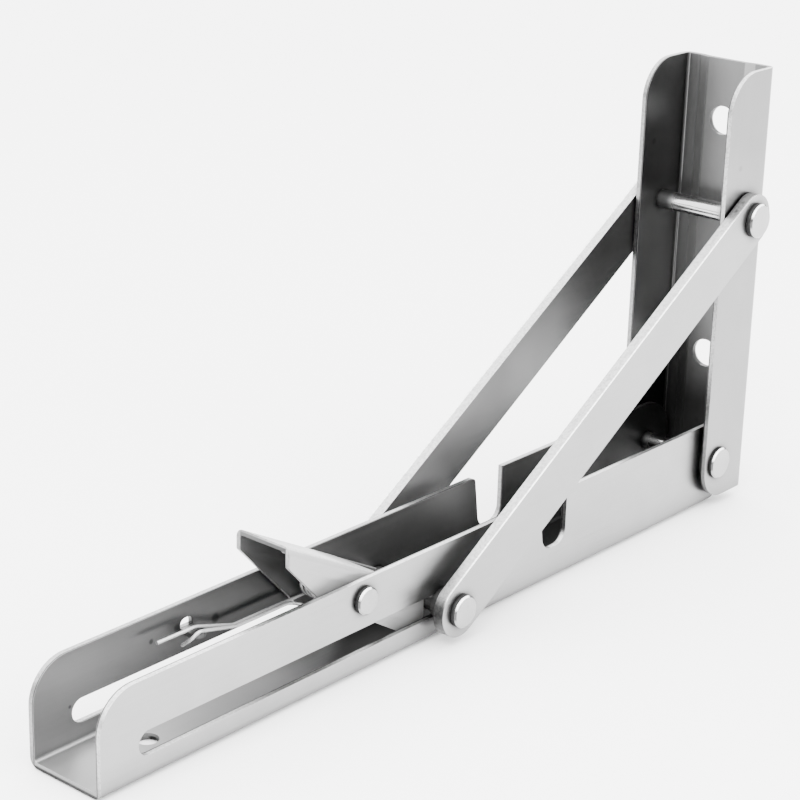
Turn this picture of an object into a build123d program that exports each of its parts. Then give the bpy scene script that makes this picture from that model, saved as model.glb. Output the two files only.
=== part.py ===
from build123d import *
import math
import os

os.makedirs("parts", exist_ok=True)

# Sheet of both channels and the fit of every turning piece, in millimetres
sheet = 1.5
bend_radius = 2.4
running_clearance = 0.05
side_clearance = 0.05
hidden = 40.0

# Long channel that screws under the leaf
leaf_left = -199.0
leaf_width = 23.0
leaf_height = 24.5
leaf_corner_radius = 10.0
leaf_web_end = 13.0
leaf_web_end_width = 18.2
leaf_web_end_radius = 3.0
leaf_screw_hole = 5.5
leaf_screw_stations = (-175.0, -65.0, 0.0)
slot_left = -185.0
slot_end_gap = 0.3
slot_height = 6.0
slot_z = 9.0
notch_right = -36.8
notch_left_foot = -46.2
notch_left_top = -48.3
notch_floor = 9.5
notch_floor_radius = 4.0
notch_lip_radius = 1.5

# Pivot between the arms
pivot_x = 30.0
pivot_z = 13.5
pivot_diameter = 5.0
pivot_head_diameter = 9.0
pivot_head_height = 1.2
pivot_washer_diameter = 10.0

# Upright channel that screws to the table frame
wall_width = 29.0
wall_back = 13.9
wall_front = 6.2
wall_bottom = 3.0
wall_top = 124.0
wall_top_radius = 11.0
wall_bottom_radius = 9.0
wall_heel_radius = 2.0
wall_screw_hole = 8.0
wall_screw_heights = (39.6, 107.1)
wall_band_half_width = 5.8
wall_band_run = 3.0
wall_band_depth = 0.6

# Flat braces and the rods at their two ends
brace_thickness = 3.0
brace_width = 14.0
brace_inner = 15.0
upper_offset = 3.85
upper_z = 84.0
lower_x = -87.3
upper_diameter = 5.0
upper_head_diameter = 9.4
upper_head_height = 1.8
slide_pin_diameter = 5.8
slide_pin_gap = 0.3
bush_diameter = 8.0
lower_head_diameter = 8.4
lower_head_height = 1.7
head_chamfer = 0.4

# Thumb lever and its rivet, the lever's outline measured from the rivet
lever_x = -115.7
lever_z = 19.3
lever_rivet_diameter = 5.0
lever_head_diameter = 7.0
lever_head_height = 1.5
lever_sheet = 1.3
lever_width = 17.0
lever_bend_radius = 2.0
lever_slope = 27.8
lever_thumb_reach = 22.6
lever_thumb_rise = 19.5
lever_thumb_height = 5.3
lever_elbow = (7.7, 1.5)
lever_lobe = (3.9, 6.0)
lever_tail_start = 2.2
lever_tail_end = 24.7
lever_tail_gap = 0.35
lever_plate_end = 8.7
lever_corner_radius = 3.0

# Wire spring round the lever rivet, its legs measured from the rivet's middle
wire_diameter = 1.0
wire_sides = 8
coil_radius = 3.7
coil_inner_y = 1.7
coil_outer_y = 6.6
coil_turns = 4
coil_valley = 0.15
press_arm_slope = 31.3
press_arm_length = 19.5
leg_bend_radius = 2.5
back_leg = ((-25.0, 6.6, -3.7), (-35.5, 6.6, -0.2), (-49.8, 6.6, 0.2))
front_leg = ((-26.8, 2.3, -3.7), (-35.7, 5.4, -0.2), (-40.5, 5.4, -0.3), (-43.3, 5.4, -3.4))

# Sprung tab in the back side that carries the ends of the spring
tab_offset = 35.3
tab_width = 4.0
tab_drop = 1.1
tab_thickness = 1.2
tab_reach = 4.7
tab_window_height = 2.3
tab_radius = 1.6

# Values that follow from the sizes above
leaf_outer = leaf_width / 2
leaf_end_radius = leaf_height - pivot_z
leaf_end_corner = leaf_end_radius / math.tan(math.radians(22.5))
leaf_inner = leaf_outer - sheet
wall_face = pivot_x + wall_back
wall_free_edge = pivot_x - wall_front
wall_outer = wall_width / 2
wall_inner = wall_outer - sheet
brace_outer = brace_inner + brace_thickness
upper_x = pivot_x + upper_offset
slot_right = lower_x + slot_end_gap
wire_radius = wire_diameter / 2
tab_right = lever_x - tab_offset
tab_left = tab_right - tab_width
tab_top = lever_z - tab_drop
tab_window_top = tab_top + tab_window_height
lever_thumb_x = lever_x - lever_thumb_reach
lever_thumb_z = lever_z + lever_thumb_rise
slide_pin_end = brace_inner - slide_pin_gap
slide_pin_top = slot_z + slide_pin_diameter / 2
lever_tail_z = slide_pin_top + lever_tail_gap
slope = math.tan(math.radians(lever_slope))


def lever_top(x):
    return lever_thumb_z - (x - lever_thumb_x) * slope


def below_rivet(offset):
    return (lever_x - offset[0], lever_z - offset[1])


def side_plane(x, y, z):
    return Plane(origin=(x, y, z), x_dir=(1, 0, 0), z_dir=(0, -1, 0))


def bore(diameter):
    return diameter / 2 + running_clearance


# Closed outline through corners given as x, y and the radius that rounds each
def rounded_outline(corners):
    ends = []
    for index, (x, y, radius) in enumerate(corners):
        corner = Vector(x, y)
        back_x, back_y, _ = corners[index - 1]
        next_x, next_y, _ = corners[(index + 1) % len(corners)]
        to_back = (Vector(back_x, back_y) - corner).normalized()
        to_next = (Vector(next_x, next_y) - corner).normalized()
        half = math.radians(to_back.get_angle(to_next)) / 2
        start = corner + to_back * (radius / math.tan(half))
        end = corner + to_next * (radius / math.tan(half))
        if radius > 0:
            inward = (to_back + to_next).normalized()
            middle = corner + inward * (radius / math.sin(half) - radius)
            ThreePointArc(start, middle, end)
        ends.append((start, end))
    for index, (start, _) in enumerate(ends):
        Line(ends[index - 1][1], start)


# Long channel
with BuildPart() as leaf_arm:
    with BuildSketch(Plane.YZ.offset(leaf_left)):
        with BuildLine():
            FilletPolyline(
                (-leaf_outer + sheet / 2, leaf_height),
                (-leaf_outer + sheet / 2, sheet / 2),
                (leaf_outer - sheet / 2, sheet / 2),
                (leaf_outer - sheet / 2, leaf_height),
                radius=bend_radius - sheet / 2,
            )
        trace(line_width=sheet)
    extrude(amount=pivot_x + leaf_end_radius - leaf_left)
    with BuildSketch(Plane.XZ):
        with BuildLine():
            rounded_outline(
                [
                    (leaf_left, 0, 0),
                    (leaf_left, leaf_height, leaf_corner_radius),
                    (notch_left_top, leaf_height, notch_lip_radius),
                    (notch_left_foot, notch_floor, notch_floor_radius),
                    (notch_right, notch_floor, notch_floor_radius),
                    (notch_right, leaf_height, 0),
                    (pivot_x + leaf_end_corner, leaf_height, leaf_end_radius),
                    (pivot_x + leaf_end_corner - leaf_height, 0, 0),
                ]
            )
        make_face()
    extrude(amount=leaf_width, both=True, mode=Mode.INTERSECT)

    # Slots, rivet holes and screw holes
    with BuildSketch(Plane.XZ):
        with Locations(((slot_left + slot_right) / 2, slot_z)):
            SlotCenterToCenter(slot_right - slot_left, slot_height)
        with Locations((pivot_x, pivot_z)):
            Circle(bore(pivot_diameter))
        with Locations((lever_x, lever_z)):
            Circle(bore(lever_rivet_diameter))
    extrude(amount=leaf_width, both=True, mode=Mode.SUBTRACT)
    with BuildSketch(Plane.XY):
        for station in leaf_screw_stations:
            with Locations((station, 0)):
                Circle(leaf_screw_hole / 2)
        with Locations((leaf_web_end, 0)):
            RectangleRounded(
                hidden,
                leaf_web_end_width,
                leaf_web_end_radius,
                align=(Align.MIN, Align.CENTER),
            )
    extrude(amount=sheet + bend_radius / 2, mode=Mode.SUBTRACT)

    # Tab turned in from the back side, with the window that it leaves
    with BuildSketch(side_plane(0, leaf_outer, 0)):
        with BuildLine():
            rounded_outline(
                [
                    (tab_left, tab_top, 0),
                    (tab_left, tab_window_top, tab_radius),
                    (tab_right, tab_window_top, tab_radius),
                    (tab_right, tab_top, 0),
                ]
            )
        make_face()
    extrude(amount=sheet, mode=Mode.SUBTRACT)
    with BuildSketch(Plane.XY.offset(tab_top)):
        with BuildLine():
            rounded_outline(
                [
                    (tab_left, leaf_inner + sheet / 2, 0),
                    (tab_left, tab_reach, tab_radius),
                    (tab_right, tab_reach, tab_radius),
                    (tab_right, leaf_inner + sheet / 2, 0),
                ]
            )
        make_face()
    extrude(amount=-tab_thickness)
leaf_arm.part.label = "leaf_arm"
export_step(leaf_arm.part, "parts/leaf_arm.step")

# Upright channel
with BuildPart() as wall_arm:
    web_x = wall_face - sheet / 2
    with BuildSketch(Plane.XY.offset(wall_bottom)):
        with BuildLine():
            FilletPolyline(
                (wall_free_edge, -wall_outer + sheet / 2),
                (web_x, -wall_outer + sheet / 2),
                (web_x, -wall_band_half_width - wall_band_run),
                (web_x - wall_band_depth, -wall_band_half_width),
                (web_x - wall_band_depth, wall_band_half_width),
                (web_x, wall_band_half_width + wall_band_run),
                (web_x, wall_outer - sheet / 2),
                (wall_free_edge, wall_outer - sheet / 2),
                radius=bend_radius - sheet / 2,
            )
        trace(line_width=sheet)
    extrude(amount=wall_top - wall_bottom)
    with BuildSketch(Plane.XZ):
        with BuildLine():
            rounded_outline(
                [
                    (wall_free_edge, wall_bottom, wall_bottom_radius),
                    (wall_free_edge, wall_top, wall_top_radius),
                    (wall_face, wall_top, 0),
                    (wall_face, wall_bottom, wall_heel_radius),
                ]
            )
        make_face()
    extrude(amount=wall_width, both=True, mode=Mode.INTERSECT)
    with BuildSketch(Plane.XZ):
        with Locations((pivot_x, pivot_z)):
            Circle(bore(pivot_diameter))
        with Locations((upper_x, upper_z)):
            Circle(bore(upper_diameter))
    extrude(amount=wall_width, both=True, mode=Mode.SUBTRACT)
    with BuildSketch(Plane.YZ.offset(wall_face)):
        for height in wall_screw_heights:
            with Locations((0, height)):
                Circle(wall_screw_hole / 2)
    extrude(amount=-sheet - wall_band_depth - bend_radius, mode=Mode.SUBTRACT)
wall_arm.part.label = "wall_arm"
export_step(wall_arm.part, "parts/wall_arm.step")


# Rod with a head at each end
def rod(label, x, z, diameter, grip, head_diameter, head_height):
    with BuildPart() as shape:
        with BuildSketch(side_plane(x, 0, z)):
            Circle(diameter / 2)
        extrude(amount=grip, both=True)
        for side in (-1, 1):
            with BuildSketch(side_plane(x, side * grip, z)):
                Circle(head_diameter / 2)
            extrude(amount=-side * head_height)
        rims = shape.edges().filter_by(GeomType.CIRCLE).sort_by(Axis.Y)
        chamfer([rims[0], rims[-1]], length=head_chamfer)
    shape.part.label = label
    export_step(shape.part, f"parts/{label}.step")


# Ring on an axis across the bracket, from one distance off the middle to another
def ring(label, x, z, side, near, far, outer_diameter, inner_diameter):
    with BuildPart() as shape:
        with BuildSketch(side_plane(x, side * near, z)):
            Circle(outer_diameter / 2)
            Circle(bore(inner_diameter), mode=Mode.SUBTRACT)
        extrude(amount=-side * (far - near))
    shape.part.label = label
    export_step(shape.part, f"parts/{label}.step")


rod(
    "pivot_rivet",
    pivot_x,
    pivot_z,
    pivot_diameter,
    wall_outer + side_clearance,
    pivot_head_diameter,
    pivot_head_height,
)
rod(
    "upper_cross_rod",
    upper_x,
    upper_z,
    upper_diameter,
    brace_outer + side_clearance,
    upper_head_diameter,
    upper_head_height,
)
rod(
    "lever_rivet",
    lever_x,
    lever_z,
    lever_rivet_diameter,
    leaf_outer + side_clearance,
    lever_head_diameter,
    lever_head_height,
)

# Lower pin that runs in the slots
with BuildPart() as slide_pin:
    with BuildSketch(side_plane(lower_x, 0, slot_z)):
        Circle(slide_pin_diameter / 2)
    extrude(amount=slide_pin_end, both=True)
slide_pin.part.label = "slide_pin"
export_step(slide_pin.part, "parts/slide_pin.step")

# Braces, washers, bushes and the closed ends of the lower pin on both sides
brace_run = upper_x - lower_x
brace_rise = upper_z - slot_z
brace_length = math.hypot(brace_run, brace_rise)
for side, name in ((-1, "front"), (1, "back")):
    with BuildPart() as brace:
        brace_plane = Plane(
            origin=(lower_x + brace_run / 2, side * brace_inner, slot_z + brace_rise / 2),
            x_dir=(brace_run, 0, brace_rise),
            z_dir=(0, -1, 0),
        )
        with BuildSketch(brace_plane):
            SlotCenterToCenter(brace_length, brace_width)
            with Locations((-brace_length / 2, 0)):
                Circle(bore(slide_pin_diameter), mode=Mode.SUBTRACT)
            with Locations((brace_length / 2, 0)):
                Circle(bore(upper_diameter), mode=Mode.SUBTRACT)
        extrude(amount=-side * brace_thickness)
    brace.part.label = f"brace_{name}"
    export_step(brace.part, f"parts/brace_{name}.step")

    with BuildPart() as lower_head:
        with BuildSketch(side_plane(lower_x, side * brace_inner, slot_z)):
            Circle(slide_pin_diameter / 2)
        extrude(amount=-side * (brace_thickness + side_clearance))
        with BuildSketch(side_plane(lower_x, side * (brace_outer + side_clearance), slot_z)):
            Circle(lower_head_diameter / 2)
        extrude(amount=-side * lower_head_height)
        rims = lower_head.edges().filter_by(GeomType.CIRCLE).sort_by(Axis.Y)
        outer_rim = rims[0] if side < 0 else rims[-1]
        chamfer(outer_rim, length=head_chamfer)
    lower_head.part.label = f"lower_rivet_head_{name}"
    export_step(lower_head.part, f"parts/lower_rivet_head_{name}.step")

    ring(
        f"pivot_washer_{name}",
        pivot_x,
        pivot_z,
        side,
        leaf_outer + side_clearance,
        wall_inner - side_clearance,
        pivot_washer_diameter,
        pivot_diameter,
    )
    ring(
        f"spacer_bush_{name}",
        lower_x,
        slot_z,
        side,
        leaf_outer + side_clearance,
        brace_inner - side_clearance,
        bush_diameter,
        slide_pin_diameter,
    )

# Thumb lever, an upside-down channel that narrows to a tail over the pin
slope_angle = math.radians(lever_slope)
lever_plane = Plane(
    origin=(lever_thumb_x, 0, lever_thumb_z),
    x_dir=(0, 1, 0),
    z_dir=(math.cos(slope_angle), 0, -math.sin(slope_angle)),
)
with BuildPart() as release_lever:
    wing_y = (lever_width - lever_sheet) / 2
    tail_end = lever_x + lever_tail_end
    with BuildSketch(lever_plane):
        with BuildLine():
            FilletPolyline(
                (-wing_y, -hidden),
                (-wing_y, -lever_sheet / 2),
                (wing_y, -lever_sheet / 2),
                (wing_y, -hidden),
                radius=lever_bend_radius - lever_sheet / 2,
            )
        trace(line_width=lever_sheet)
    extrude(amount=2 * hidden, both=True)
    with BuildSketch(Plane.XZ):
        with BuildLine():
            rounded_outline(
                [
                    (lever_thumb_x, lever_thumb_z, 0),
                    (lever_thumb_x, lever_thumb_z - lever_thumb_height, 0),
                    (*below_rivet(lever_elbow), lever_corner_radius),
                    (*below_rivet(lever_lobe), lever_corner_radius),
                    (lever_x + lever_tail_start, lever_tail_z, lever_corner_radius),
                    (tail_end, lever_tail_z, 0),
                    (tail_end, lever_top(tail_end), 0),
                ]
            )
        make_face()
    extrude(amount=lever_width, both=True, mode=Mode.INTERSECT)
    with BuildSketch(Plane.XY):
        with Locations((lever_x + lever_plate_end, 0)):
            Rectangle(hidden, 2 * wing_y - lever_sheet, align=(Align.MIN, Align.CENTER))
    extrude(amount=hidden, mode=Mode.SUBTRACT)
    with BuildSketch(Plane.XZ):
        with Locations((lever_x, lever_z)):
            Circle(bore(lever_rivet_diameter))
    extrude(amount=lever_width, both=True, mode=Mode.SUBTRACT)
release_lever.part.label = "release_lever"
export_step(release_lever.part, "parts/release_lever.step")

# Wire spring: two close coils joined by a press arm under the lever, and two long legs
arm_angle = math.radians(press_arm_slope)
coil_step = (coil_outer_y - coil_inner_y) / (coil_turns - 1)
arm_foot = (
    lever_x + coil_radius * math.sin(arm_angle),
    lever_z + coil_radius * math.cos(arm_angle),
)
arm_tip = (
    arm_foot[0] - press_arm_length * math.cos(arm_angle),
    arm_foot[1] + press_arm_length * math.sin(arm_angle),
)
leg_z = lever_z - coil_radius


def from_rivet(offsets):
    return [(lever_x + x, y, lever_z + z) for x, y, z in offsets]


spring_paths = (
    (
        wire_diameter,
        (arm_foot[0], coil_inner_y, arm_foot[1]),
        (arm_tip[0], coil_inner_y, arm_tip[1]),
        (arm_tip[0], -coil_inner_y, arm_tip[1]),
        (arm_foot[0], -coil_inner_y, arm_foot[1]),
    ),
    (
        leg_bend_radius,
        (lever_x, coil_outer_y, leg_z),
        *from_rivet(back_leg),
    ),
    (
        leg_bend_radius / 2,
        (lever_x, -coil_outer_y, leg_z),
        *from_rivet(front_leg),
    ),
)
coil_profile = [
    (coil_outer_y + wire_radius, coil_radius),
    (coil_outer_y + wire_radius / 2, coil_radius - wire_radius),
    (coil_inner_y - wire_radius / 2, coil_radius - wire_radius),
    (coil_inner_y - wire_radius, coil_radius),
]
for turn in range(coil_turns):
    crest_y = coil_inner_y + turn * coil_step
    if turn > 0:
        coil_profile.append((crest_y - coil_step / 2, coil_radius + coil_valley))
    coil_profile.append((crest_y, coil_radius + wire_radius))
coil_plane = Plane(origin=(lever_x, 0, lever_z), x_dir=(0, 1, 0), z_dir=(1, 0, 0))
with BuildPart() as lever_spring:
    with BuildSketch(coil_plane):
        with BuildLine():
            Polyline(*coil_profile, close=True)
        make_face()
    revolve(axis=Axis((lever_x, 0, lever_z), (0, 1, 0)))
    mirror(about=Plane.XZ)
    for bend, *points in spring_paths:
        with BuildLine() as wire:
            FilletPolyline(*points, radius=bend)
        with BuildSketch(Plane(origin=wire.line @ 0, z_dir=wire.line % 0)):
            RegularPolygon(wire_radius, wire_sides, rotation=180 / wire_sides)
        sweep(path=wire.line)
lever_spring.part.label = "lever_spring"
export_step(lever_spring.part, "parts/lever_spring.step")
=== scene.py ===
import math

import bmesh
import bpy
from mathutils import Matrix, Vector


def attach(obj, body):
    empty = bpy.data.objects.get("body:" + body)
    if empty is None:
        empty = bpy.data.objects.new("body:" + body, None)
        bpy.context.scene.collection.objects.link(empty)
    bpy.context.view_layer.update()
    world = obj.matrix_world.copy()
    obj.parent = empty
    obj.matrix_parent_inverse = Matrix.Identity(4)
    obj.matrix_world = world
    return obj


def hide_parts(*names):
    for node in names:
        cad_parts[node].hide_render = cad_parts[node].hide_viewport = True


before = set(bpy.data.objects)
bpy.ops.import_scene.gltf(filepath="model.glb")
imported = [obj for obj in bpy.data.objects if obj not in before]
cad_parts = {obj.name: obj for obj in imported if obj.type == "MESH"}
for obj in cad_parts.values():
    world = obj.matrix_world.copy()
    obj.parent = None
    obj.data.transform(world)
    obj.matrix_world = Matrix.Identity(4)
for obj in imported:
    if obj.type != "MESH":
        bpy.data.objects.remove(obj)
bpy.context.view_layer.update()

MM = 0.001
scene = bpy.context.scene

# Camera fitted to the photograph, in degrees and millimetres
camera_azimuth = -49.559
camera_elevation = 20.239
camera_roll = 1.565
camera_place = (-483.3, -334.1, 250.0)
camera_sensor = 36
camera_lens = 102.86

# Channels and braces in millimetres, as in the solids
sheet_thickness = 1.5
leaf_left = -199.0
leaf_width = 23.0
wall_width = 29.0
wall_top = 124.0
wall_face = 43.9
pivot_x = 30.0
brace_gap = 0.5
brace_thickness = 3.0
rod_x = 33.85
rod_z = 84.0
tab_x = -151.0

# Release lever
lever_x = -115.7
lever_z = 19.3
lever_slope = math.radians(27.8)
lever_width = 17.0
lever_sheet = 1.3
lever_bend = 2.0
lever_thumb = (-22.6, 19.5)
lever_tail = 25.5
lever_plate_end = 8.7
lever_hole = 2.55
lever_hole_sides = 40
lever_soft_edge = 0.22

# Spring
coil_radius = 3.7
coil_inner = 1.7
coil_outer = 6.6
coil_turns = 4
coil_steps = 160
press_slope = math.radians(31.3)
press_length = 19.5
wire_radius = 0.45

# Sizes that follow from those above
leaf_inner = leaf_width / 2 - sheet_thickness
wall_outer = wall_width / 2
wall_inner = wall_outer - sheet_thickness
wall_web_x = wall_face - sheet_thickness + 0.4
brace_inner = wall_outer + brace_gap
brace_outer = brace_inner + brace_thickness
brace_middle = brace_inner + brace_thickness / 2
lever_half = lever_width / 2
lever_inner = lever_half - lever_sheet

# Side view of the lever's wings from its rivet: along, above and the radius that rounds the corner
lever_wing = (
    (*lever_thumb, 0),
    (lever_thumb[0], 14.2, 0.8),
    (-7.7, -1.5, 3.0),
    (-3.3, -6.1, 3.0),
    (6.7, -9.1, 3.0),
    (15.7, -14.7, 1.2),
    (lever_tail, -15.1, 1.2),
    (lever_tail, -5.86, 0),
)

# Small dark spots seen in the photograph: place, radius and depth. Beside the spring tab they are
# painted shadows of the spring wires.
leaf_spots_and_wire_shadows = (
    ((leaf_left + 10.4, leaf_inner, 11.0), 0.6, 0.55),
    ((tab_x - 13.1, leaf_inner, 18.2), 0.9, 0.6),
    ((tab_x + 7.3, leaf_inner, 17.1), 1.7, 0.6),
    ((tab_x - 5.0, leaf_inner, 18.9), 1.3, 0.5),
)
wall_marks = (
    ((wall_web_x, 0.1, rod_z + 15.0), 0.9, 0.6),
    ((pivot_x, -wall_outer, rod_z + 14.3), 1.2, 0.2),
    ((pivot_x - 1.4, wall_inner, rod_z + 17.2), 1.2, 0.35),
    ((pivot_x + 6.0, -wall_outer, wall_top - 11.0), 26.0, 0.14),
)
brace_marks = (
    ((rod_x - 4.25, -brace_middle, rod_z + 5.0), 1.0, 0.6),
    ((rod_x - 7.65, -brace_middle, rod_z + 4.0), 1.0, 0.6),
)

# Brightness of the room by height, from the horizon to overhead
sky = ((0.02, 0.05), (0.09, 0.10), (0.16, 0.85), (0.5, 0.9), (0.9, 1.0))
sky_strength = 7.4
light_target = (-0.05, 0, 0.04)
floor_reach = 6
floor_height = -0.0004


def aim_camera():
    azimuth = math.radians(camera_azimuth)
    elevation = math.radians(camera_elevation)
    roll = math.radians(camera_roll)
    back = Vector((
        math.sin(azimuth) * math.cos(elevation),
        -math.cos(azimuth) * math.cos(elevation),
        math.sin(elevation),
    ))
    right = Vector((math.cos(azimuth), math.sin(azimuth), 0))
    up = back.cross(right)
    rolled_right = right * math.cos(roll) + up * math.sin(roll)
    rolled_up = up * math.cos(roll) - right * math.sin(roll)
    data = bpy.data.cameras.new("camera")
    data.sensor_width = camera_sensor
    data.lens = camera_lens
    data.clip_start = 0.01
    data.clip_end = 50
    camera = bpy.data.objects.new("camera", data)
    scene.collection.objects.link(camera)
    matrix = Matrix((rolled_right, rolled_up, back)).transposed().to_4x4()
    matrix.translation = Vector(camera_place) * MM
    camera.matrix_world = matrix
    scene.camera = camera


# One material, its coordinates and short calls for its nodes
class Look:
    def __init__(self, name):
        self.material = bpy.data.materials.new(name)
        self.material.use_nodes = True
        self.tree = self.material.node_tree
        self.tree.nodes.clear()
        output = self.add("ShaderNodeOutputMaterial")
        self.shader = self.add("ShaderNodeBsdfPrincipled")
        self.link(self.shader.outputs[0], output.inputs[0])
        self.coordinates = self.add("ShaderNodeTexCoord")
        place = self.add("ShaderNodeSeparateXYZ")
        self.link(self.coordinates.outputs["Object"], place.inputs[0])
        facing = self.add("ShaderNodeSeparateXYZ")
        self.link(self.coordinates.outputs["Normal"], facing.inputs[0])
        self.x, self.y, self.z = place.outputs
        self.across = self.math("ABSOLUTE", self.y)
        self.facing_x, facing_y, self.facing_z = facing.outputs
        self.sideways = self.math("ABSOLUTE", facing_y)
        self.side = self.rise(self.sideways, 0.45, 0.75)
        self.upward = self.rise(self.facing_z, 0.3, 0.8)

    def add(self, kind, **values):
        node = self.tree.nodes.new(kind)
        for key, value in values.items():
            setattr(node, key, value)
        return node

    def link(self, source, target):
        self.tree.links.new(source, target)

    def feed(self, socket, value):
        if isinstance(value, (int, float)):
            socket.default_value = value
        else:
            self.link(value, socket)

    def math(self, operation, *values):
        node = self.add("ShaderNodeMath", operation=operation)
        for socket, value in zip(node.inputs, values):
            self.feed(socket, value)
        return node.outputs[0]

    def product(self, *values):
        total = values[0]
        for value in values[1:]:
            total = self.math("MULTIPLY", total, value)
        return total

    def without(self, value):
        return self.math("SUBTRACT", 1.0, value)

    def blend(self, mask, low, high):
        span = self.math("SUBTRACT", high, low)
        return self.math("ADD", low, self.math("MULTIPLY", mask, span))

    def remap(self, value, start, end, low, high, smooth=False):
        node = self.add("ShaderNodeMapRange")
        if smooth:
            node.interpolation_type = "SMOOTHSTEP"
        self.feed(node.inputs["From Min"], start)
        self.feed(node.inputs["From Max"], end)
        self.feed(node.inputs["To Min"], low)
        self.feed(node.inputs["To Max"], high)
        self.link(value, node.inputs["Value"])
        return node.outputs[0]

    def rise(self, value, start, end):
        return self.remap(value, start, end, 0.0, 1.0, smooth=True)

    # Smooth change between two places in millimetres
    def fade(self, value, start, end, low=0.0, high=1.0):
        return self.remap(value, start * MM, end * MM, low, high, smooth=True)

    def under(self, value, limit, blur=0.15):
        return self.fade(value, limit, limit + blur, 1.0, 0.0)

    def noise(self, scale, stretch=(1, 1, 1), turn=(0, 0, 0), detail=4, roughness=0.55):
        mapping = self.add("ShaderNodeMapping")
        mapping.inputs["Scale"].default_value = stretch
        mapping.inputs["Rotation"].default_value = turn
        self.link(self.coordinates.outputs["Object"], mapping.inputs["Vector"])
        node = self.add("ShaderNodeTexNoise")
        node.inputs["Scale"].default_value = scale
        node.inputs["Detail"].default_value = detail
        node.inputs["Roughness"].default_value = roughness
        self.link(mapping.outputs[0], node.inputs["Vector"])
        return node.outputs[0]

    # Painted shade in corners and gaps: darker where other surfaces are close
    def corner_shade(self, distance, floor):
        node = self.add("ShaderNodeAmbientOcclusion", samples=6)
        node.inputs["Distance"].default_value = distance * MM
        return self.remap(node.outputs["AO"], 0.35, 0.92, floor, 1.0)

    def spot(self, point, radius):
        node = self.add("ShaderNodeVectorMath", operation="DISTANCE")
        self.link(self.coordinates.outputs["Object"], node.inputs[0])
        node.inputs[1].default_value = Vector(point) * MM
        return self.fade(node.outputs["Value"], radius * 0.35, radius, 1.0, 0.0)

    def gray(self, value):
        node = self.add("ShaderNodeCombineColor")
        for socket in node.inputs[:3]:
            self.link(value, socket)
        return node.outputs[0]

    def rounded_normal(self, radius):
        bevel = self.add("ShaderNodeBevel", samples=6)
        bevel.inputs["Radius"].default_value = radius * MM
        return bevel.outputs[0]

    def bump(self, height, strength, distance, normal=None):
        node = self.add("ShaderNodeBump")
        node.inputs["Strength"].default_value = strength
        node.inputs["Distance"].default_value = distance * MM
        self.link(height, node.inputs["Height"])
        if normal is not None:
            self.link(normal, node.inputs["Normal"])
        return node.outputs[0]


# Stainless steel: satin sides with rolling grain, cut edges with fine speckle, insides painted in
# shade, and painted shade in corners and gaps.
# Cut edges are painted lighter where they face up and shift in tone from the near side to the far
# side; they get a painted dark line up to one distance and a painted highlight from another,
# measured from the middle plane.
def steel(
    name, inside, inside_shade, spots_and_shadows=(), *, stretch, side, edge=0.55, rough=0.32,
    round_edges=0.2, corner=0.15, metal=1.0, turned=0.6, far_edge_shading=0.6, shade_line=-1.0, highlight_line=40.0,
):
    look = Look(name)
    grain = look.noise(1.0, stretch, detail=6, roughness=0.7)
    cloud = look.noise(34.0, detail=3)
    haze = look.noise(110.0, detail=2)
    speckle = look.noise(1500.0, detail=2, roughness=0.6)
    streaks = look.noise(1.0, (70, 900, 240), turn=(0.3, 0.5, 0.9), detail=5, roughness=0.75)
    scratch = look.remap(streaks, 0.62, 0.78, 0.0, 1.0)
    # Painted shade: a dark line along the inner corner of the cut edges
    inner_edge_shade = look.under(look.across, shade_line + 0.3, 0.12)
    # Painted highlight: a bright line along the outer corner of cut edges that face up
    highlight_band = look.fade(look.across, highlight_line - 0.5, highlight_line - 0.35)
    glint = look.product(highlight_band, look.upward)
    # Cut edges painted lighter where they face up and shifted in tone from the near side to the far
    # side
    cut = look.product(
        look.remap(look.y, -4 * MM, 4 * MM, edge, far_edge_shading * edge),
        look.blend(look.upward, turned, 1.0),
        look.blend(inner_edge_shade, 1.0, 0.15),
    )
    cut = look.blend(glint, cut, 0.95)
    mask = inside(look)
    edges = look.product(look.without(look.side), look.without(mask))
    # The inside tone is painted shade; the two occlusion terms paint shade into corners and a broad
    # shadow onto outer faces beside other parts
    tone = look.product(
        look.blend(mask, look.blend(look.side, cut, side), inside_shade(look)),
        look.remap(grain, 0.2, 0.8, 0.95, 1.05),
        look.remap(cloud, 0.25, 0.75, 0.93, 1.07),
        look.remap(haze, 0.25, 0.75, 0.97, 1.03),
        look.blend(edges, 1.0, look.remap(speckle, 0.35, 0.6, 0.72, 1.08)),
        look.without(look.math("MULTIPLY", scratch, 0.10)),
        look.corner_shade(2.2, corner),
        look.blend(mask, look.corner_shade(9.0, 0.35 + 0.65 * corner), 1.0),
    )
    # Darken the dark spots, painted wire shadows among them
    for point, radius, depth in spots_and_shadows:
        shade = look.math("MULTIPLY", look.spot(point, radius), depth)
        tone = look.product(tone, look.without(shade))
    look.link(look.gray(tone), look.shader.inputs["Base Color"])
    look.shader.inputs["Metallic"].default_value = metal
    roughness = look.math(
        "ADD",
        look.blend(mask, rough, rough + 0.12),
        look.remap(cloud, 0.2, 0.8, -0.04, 0.04),
    )
    roughness = look.math("ADD", roughness, look.remap(grain, 0.2, 0.8, -0.05, 0.05))
    look.link(roughness, look.shader.inputs["Roughness"])
    height = look.math("ADD", grain, look.product(speckle, look.blend(edges, 0.25, 1.6)))
    normal = look.rounded_normal(round_edges) if round_edges else None
    look.link(look.bump(height, 0.25, 0.07, normal), look.shader.inputs["Normal"])
    return look.material


# Insides of the channels and braces, and the painted shade that darkens them along the bracket
def leaf_inside(look):
    above_web = look.fade(look.z, 0.6, 0.9)
    return look.product(look.under(look.across, leaf_inner), above_web)


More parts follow.
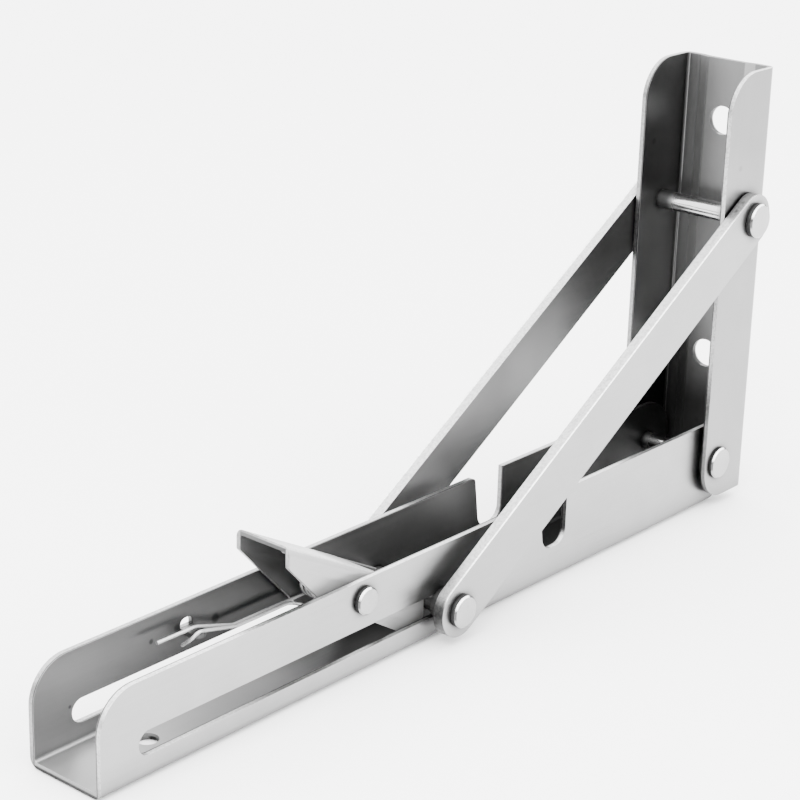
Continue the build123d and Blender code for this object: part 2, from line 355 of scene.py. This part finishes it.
# Painted shade on the leaf's inside: lighter near the left end, with its floor lighter still there
# and dark further on, and darker at the pivot
def leaf_inside_shade(look):
    outer = look.fade(look.x, -195, -140, 0.21, 0.095)
    deep = look.fade(look.x, -128, -108, 0.0, 0.03)
    pivot = look.fade(look.x, -5, 15, 1.0, 0.25)
    web = look.fade(look.x, -142, -118, 1.6, 0.22)
    return look.product(look.math("ADD", outer, deep), pivot, look.blend(look.upward, 1.0, web))


def wall_inside(look):
    return look.product(look.under(look.across, wall_inner), look.under(look.x, wall_web_x, 0.2))


# Painted light and shade on the upright's inside: a lighter band at mid height, a painted light
# strip at the bend beside a darkened fillet, and darker towards the bottom
def wall_inside_shade(look):
    middle = look.math("SUBTRACT", look.fade(look.z, 35, 55), look.fade(look.z, 80, 92))
    band_start = look.rise(look.sideways, 0.08, 0.15)
    band_ramp = look.math("SUBTRACT", band_start, look.rise(look.sideways, 0.25, 0.35))
    bend_line = look.rise(look.sideways, 0.3, 0.45)
    web = look.product(look.blend(band_ramp, 1.0, 1.7), look.blend(bend_line, 0.125, 0.035))
    return look.product(
        look.blend(look.side, web, look.blend(middle, 0.038, 0.12)),
        look.fade(look.z, 30, 60, 0.45, 1.0),
        look.remap(look.noise(16.0, detail=2), 0.3, 0.7, 0.8, 1.25),
    )


def brace_inside(look):
    return look.product(look.under(look.across, brace_inner), look.side)


# Painted shade on the braces' inner faces, darker towards the top
def brace_inside_shade(look):
    return look.product(
        look.fade(look.z, 40, 76, 0.16, 0.075),
        look.remap(look.noise(22.0, detail=2), 0.3, 0.7, 0.75, 1.3),
    )


# Underside of the lever's plate and the inner faces of its wings, painted in shade
def lever_inside(look):
    tilt = math.tan(lever_slope)
    above = look.math("ADD", look.z, look.math("MULTIPLY", look.x, tilt))
    top = lever_z + lever_thumb[1] + (lever_x + lever_thumb[0]) * tilt
    below_plate = look.under(above, top - 0.55 / math.cos(lever_slope), 0.2)
    return look.product(below_plate, look.under(look.across, lever_inner + 0.03))


def lever_inside_shade(look):
    return look.remap(look.noise(60.0, detail=2), 0.3, 0.7, 0.03, 0.055)


def nowhere(look):
    return look.math("MULTIPLY", look.x, 0.0)


# Rivets and rods: mottled heads with a painted glint and a painted dark arc on the chamfer,
# polished shafts with painted shade where they pass into the walls, and painted shade on the head
# sides and in corners
def riveted(name, shaft, rough, dimples=0.0):
    # The second tone is painted shade on the head sides and on shafts inside the walls
    face, hidden_shade = 0.31, 0.06
    look = Look(name)
    cloud = look.noise(170.0, detail=3)
    rings = look.noise(1.0, (900, 60, 900), detail=4, roughness=0.7)
    beyond = look.fade(look.across, leaf_inner - 4.0, leaf_inner - 0.2)
    # Painted light from the upper left: a glint on the chamfer with a dark arc beside it
    lit = look.math("SUBTRACT", look.facing_z, look.math("MULTIPLY", look.facing_x, 0.5))
    rim = look.math("SUBTRACT", look.side, look.rise(look.sideways, 0.8, 0.9))
    ring_light = look.blend(look.rise(lit, 0.52, 0.66), 0.06, 0.95)
    ring = look.blend(look.rise(lit, 0.05, 0.25), face, ring_light)
    tone = look.product(
        look.blend(look.side, look.blend(beyond, shaft, hidden_shade), look.blend(rim, face, ring)),
        look.remap(cloud, 0.25, 0.75, 0.90, 1.08),
        look.remap(rings, 0.25, 0.75, 0.95, 1.05),
        look.corner_shade(1.4, 0.10),
    )
    look.link(look.gray(tone), look.shader.inputs["Base Color"])
    look.shader.inputs["Metallic"].default_value = 1.0
    shaft_polish = look.blend(beyond, rough, 0.45)
    head_polish = look.blend(rim, rough + 0.12, 0.2)
    polish = look.blend(look.side, shaft_polish, head_polish)
    look.link(polish, look.shader.inputs["Roughness"])
    pits = look.product(look.noise(620.0, detail=3, roughness=0.6), 3.0 * dimples)
    height = look.blend(look.side, rings, look.math("ADD", rings, pits))
    look.link(look.bump(height, 0.3, 0.12, look.rounded_normal(0.18)), look.shader.inputs["Normal"])
    return look.material


# Pale room: bright above, with a dark line at the horizon that sharpens the reflections
def light_scene():
    world = bpy.data.worlds.new("studio")
    scene.world = world
    world.use_nodes = True
    tree = world.node_tree
    coordinates = tree.nodes.new("ShaderNodeTexCoord")
    place = tree.nodes.new("ShaderNodeSeparateXYZ")
    ramp = tree.nodes.new("ShaderNodeValToRGB")
    tree.links.new(coordinates.outputs["Generated"], place.inputs[0])
    tree.links.new(place.outputs[2], ramp.inputs[0])
    tree.links.new(ramp.outputs[0], tree.nodes["Background"].inputs["Color"])
    tree.nodes["Background"].inputs["Strength"].default_value = sky_strength
    stops = ramp.color_ramp.elements
    stops[0].position = sky[0][0]
    stops[1].position = sky[-1][0]
    for position, value in sky[1:-1]:
        stops.new(position)
    for stop, (position, value) in zip(stops, sky):
        stop.color = (value, value, value, 1)

    area_light("key", place=(-0.75, -0.35, 0.9), size=0.35, power=10)
    area_light("fill", place=(0.1, -0.9, 0.5), size=0.6, power=5)


def area_light(name, place, size, power):
    data = bpy.data.lights.new(name, "AREA")
    data.size = size
    data.energy = power
    light = bpy.data.objects.new(name, data)
    scene.collection.objects.link(light)
    light.location = place
    direction = Vector(light_target) - Vector(place)
    light.rotation_euler = direction.to_track_quat("-Z", "Y").to_euler()


def floor():
    mesh = bpy.data.meshes.new("floor")
    signs = ((-1, -1), (1, -1), (1, 1), (-1, 1))
    corners = [(x * floor_reach, y * floor_reach, floor_height) for x, y in signs]
    mesh.from_pydata(corners, [], [(0, 1, 2, 3)])
    plane = bpy.data.objects.new("floor", mesh)
    scene.collection.objects.link(plane)
    look = Look("floor_paint")
    tone = look.remap(look.noise(3.0, detail=2), 0.2, 0.8, 0.90, 0.93)
    look.link(look.gray(tone), look.shader.inputs["Base Color"])
    look.shader.inputs["Roughness"].default_value = 0.9
    mesh.materials.append(look.material)


def dress(obj, material):
    obj.data.materials.clear()
    obj.data.materials.append(material)


# Points of a closed outline whose corners are given as a, b and the radius that rounds each
def rounded(corners, steps=8):
    points = []
    for index, (a, b, radius) in enumerate(corners):
        corner = Vector((a, b))
        before = Vector(corners[index - 1][:2])
        after = Vector(corners[(index + 1) % len(corners)][:2])
        if radius <= 0:
            points.append(corner)
            continue
        to_before = (before - corner).normalized()
        to_after = (after - corner).normalized()
        half = to_before.angle(to_after) / 2
        centre = corner + (to_before + to_after).normalized() * (radius / math.sin(half))
        start = corner + to_before * (radius / math.tan(half)) - centre
        end = corner + to_after * (radius / math.tan(half)) - centre
        turn = start.angle_signed(end)
        for step in range(steps + 1):
            angle = -turn * step / steps
            cos, sin = math.cos(angle), math.sin(angle)
            turned = Vector((start.x * cos - start.y * sin, start.x * sin + start.y * cos))
            points.append(centre + turned)
    return points


# Straight solid from an outline, from one offset to another along an axis
def prism(name, outline, place, low, high):
    mesh = bpy.data.meshes.new(name)
    shape = bmesh.new()
    rings = []
    for offset in (low, high):
        rings.append([shape.verts.new(Vector(place(a, b, offset)) * MM) for a, b in outline])
    shape.faces.new(rings[0])
    shape.faces.new(list(reversed(rings[1])))
    count = len(outline)
    for index in range(count):
        after = (index + 1) % count
        shape.faces.new((rings[0][after], rings[0][index], rings[1][index], rings[1][after]))
    bmesh.ops.recalc_face_normals(shape, faces=shape.faces)
    shape.to_mesh(mesh)
    shape.free()
    obj = bpy.data.objects.new(name, mesh)
    scene.collection.objects.link(obj)
    return obj


def evaluated_mesh(obj):
    graph = bpy.context.evaluated_depsgraph_get()
    return bpy.data.meshes.new_from_object(obj.evaluated_get(graph))


def bake(obj):
    mesh = evaluated_mesh(obj)
    obj.modifiers.clear()
    obj.data = mesh


def combine(obj, other, operation):
    modifier = obj.modifiers.new("cut", "BOOLEAN")
    modifier.operation = operation
    modifier.solver = "EXACT"
    modifier.object = other
    bake(obj)
    bpy.data.objects.remove(other)


def soften(obj, width):
    bevel_angle = math.radians(35)
    sharp_angle = math.radians(30)
    modifier = obj.modifiers.new("edges", "BEVEL")
    modifier.width = width * MM
    modifier.segments = 2
    modifier.limit_method = "ANGLE"
    modifier.angle_limit = bevel_angle
    bake(obj)
    for face in obj.data.polygons:
        face.use_smooth = True
    obj.data.set_sharp_from_angle(angle=sharp_angle)


# Round wire along a list of points
def wire(name, points, radius):
    curve = bpy.data.curves.new(name, "CURVE")
    curve.dimensions = "3D"
    curve.bevel_depth = radius * MM
    curve.bevel_resolution = 5
    curve.use_fill_caps = True
    line = curve.splines.new("POLY")
    line.points.add(len(points) - 1)
    for point, place in zip(line.points, points):
        point.co = (*(Vector(place) * MM), 1)
    outline = bpy.data.objects.new(name, curve)
    scene.collection.objects.link(outline)
    mesh = evaluated_mesh(outline)
    bpy.data.objects.remove(outline)
    bpy.data.curves.remove(curve)
    solid = bpy.data.objects.new(name, mesh)
    scene.collection.objects.link(solid)
    for face in mesh.polygons:
        face.use_smooth = True
    return solid


# Path through points with each corner rounded
def bend(points, radius, steps=6):
    path = [Vector(points[0])]
    for before, corner, after in zip(points, points[1:], points[2:]):
        before, corner, after = Vector(before), Vector(corner), Vector(after)
        to_before = (before - corner).normalized()
        to_after = (after - corner).normalized()
        half = to_before.angle(to_after) / 2
        longest = 0.45 * min((before - corner).length, (after - corner).length)
        run = min(radius / math.tan(half), longest)
        for step in range(steps + 1):
            t = step / steps
            a = corner + to_before * run
            b = corner + to_after * run
            path.append(a * (1 - t) ** 2 + corner * 2 * t * (1 - t) + b * t * t)
    path.append(Vector(points[-1]))
    return path


# Point in the side view, given from the lever's rivet
def from_rivet(along, above):
    return lever_x + along, lever_z + above


# Place of a side view's point at an offset across the bracket
def flat(x, z, y):
    return x, y, z


# Thumb lever: a bent plate with two wings and the locking tail in front of the pin
def build_lever():
    thumb_x, thumb_z = from_rivet(*lever_thumb)
    thumb = Vector((thumb_x, 0, thumb_z))
    along = Vector((math.cos(lever_slope), 0, -math.sin(lever_slope)))
    out = Vector((math.sin(lever_slope), 0, math.cos(lever_slope)))
    deep = 40
    past = 12
    plate_start, plate_end = -1, 60
    section = rounded([
        (-lever_half, -deep, 0),
        (-lever_half, 0, lever_bend),
        (lever_half, 0, lever_bend),
        (lever_half, -deep, 0),
        (lever_inner, -deep, 0),
        (lever_inner, -lever_sheet, lever_bend - lever_sheet),
        (-lever_inner, -lever_sheet, lever_bend - lever_sheet),
        (-lever_inner, -deep, 0),
    ])

    def on_plate(across, above, down):
        return thumb + along * down + out * above + Vector((0, across, 0))

    shell = prism("release_lever_shell", section, on_plate, plate_start, plate_end)
    outline = rounded([(*from_rivet(*corner), radius) for *corner, radius in lever_wing])
    combine(shell, prism("lever_side", outline, flat, -past, past), "INTERSECT")
    right, low, high = 45, -24, 40
    back = [
        from_rivet(lever_plate_end, low),
        from_rivet(right, low),
        from_rivet(right, high),
        from_rivet(lever_plate_end, high),
    ]
    back_cut = prism("lever_back_cut", back, flat, -lever_inner, lever_inner)
    combine(shell, back_cut, "DIFFERENCE")
    circle = [math.radians(360 / lever_hole_sides * step) for step in range(lever_hole_sides)]
    hole = [from_rivet(lever_hole * math.cos(t), lever_hole * math.sin(t)) for t in circle]
    combine(shell, prism("lever_hole", hole, flat, -past, past), "DIFFERENCE")
    soften(shell, lever_soft_edge)
    dress(shell, lever_steel)
    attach(shell, "lever")
    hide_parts("release_lever")


# Point of the spring's coil, at an angle from the top of the rivet
def on_coil(angle, across):
    x = lever_x + coil_radius * math.sin(angle)
    z = lever_z + coil_radius * math.cos(angle)
    return Vector((x, across, z))


# Coil from the foot of the press arm to the leg, on the side given by the sign
def coil(side):
    turns = coil_turns - (math.pi + press_slope) / (2 * math.pi)
    points = []
    for step in range(coil_steps + 1):
        t = step / coil_steps
        across = side * (coil_inner + (coil_outer - coil_inner) * t)
        points.append(on_coil(press_slope + t * turns * 2 * math.pi, across))
    return points


# Wire spring: leg, coil, press arm, coil and the second leg as one wire
def build_spring():
    low = lever_z - coil_radius
    foot = on_coil(press_slope, coil_inner)
    rising = Vector((-math.cos(press_slope), 0, math.sin(press_slope)))
    tip = foot + rising * press_length
    mirrored = Vector((1, -1, 1))
    press = bend([foot, tip, tip * mirrored, foot * mirrored], 1.0)
    rise_x = tab_x + 9.8
    beside = 5.6
    leg_back = bend([
        (lever_x, coil_outer, low),
        (rise_x, coil_outer, low),
        (tab_x - 2.6, coil_outer, 19.4),
        (tab_x - 14.5, coil_outer, 19.5),
    ], 5)
    leg_front = bend([
        (lever_x, -coil_outer, low),
        (lever_x - 2.8, -coil_outer, low),
        (lever_x - 7.6, beside, low),
        (rise_x, beside, low),
        (tab_x - 3.0, 4.9, 18.9),
        (tab_x - 5.0, 5.4, 17.4),
        (tab_x - 5.6, 7.8, 15.4),
    ], 2.5)
    back_half = list(reversed(leg_back))[:-1] + list(reversed(coil(1)))[:-1]
    front_half = coil(-1)[:-1] + leg_front
    spring = wire("lever_spring_wire", back_half + press[:-1] + front_half, wire_radius)
    dress(spring, wire_steel)
    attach(spring, "leaf")
    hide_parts("lever_spring")


aim_camera()
light_scene()
floor()

sheet = steel(
    "sheet_steel", leaf_inside, leaf_inside_shade, leaf_spots_and_wire_shadows,
    stretch=(14, 900, 900), side=0.28, shade_line=leaf_inner,
)
upright = steel(
    "upright_steel", wall_inside, wall_inside_shade, wall_marks,
    stretch=(900, 900, 14), side=0.21, shade_line=wall_inner,
)
brace = steel(
    "brace_steel", brace_inside, brace_inside_shade, brace_marks,
    stretch=(60, 900, 900), side=0.262, edge=0.38, turned=0.25, far_edge_shading=1.15, highlight_line=brace_outer,
)
rivet = riveted("rivet_steel", shaft=0.42, rough=0.14)
dimpled = riveted("dimpled_rivet_steel", shaft=0.36, rough=0.18, dimples=1.0)
lever_steel = steel(
    "lever_steel", lever_inside, lever_inside_shade,
    stretch=(60, 900, 300), side=0.25, edge=0.45, rough=0.34, round_edges=0, corner=1.0, metal=0.35,
)
wire_steel = steel(
    "wire_steel", nowhere, nowhere,
    stretch=(80, 900, 900), side=0.6, edge=0.6, rough=0.22, round_edges=0, corner=0.6, metal=0.5,
)

finish = {
    "leaf_arm": sheet,
    "wall_arm": upright,
    "brace_front": brace,
    "brace_back": brace,
    "release_lever": lever_steel,
    "lever_spring": wire_steel,
    "lever_rivet": dimpled,
}
for name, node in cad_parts.items():
    dress(node, finish.get(name, rivet))

build_lever()
build_spring()
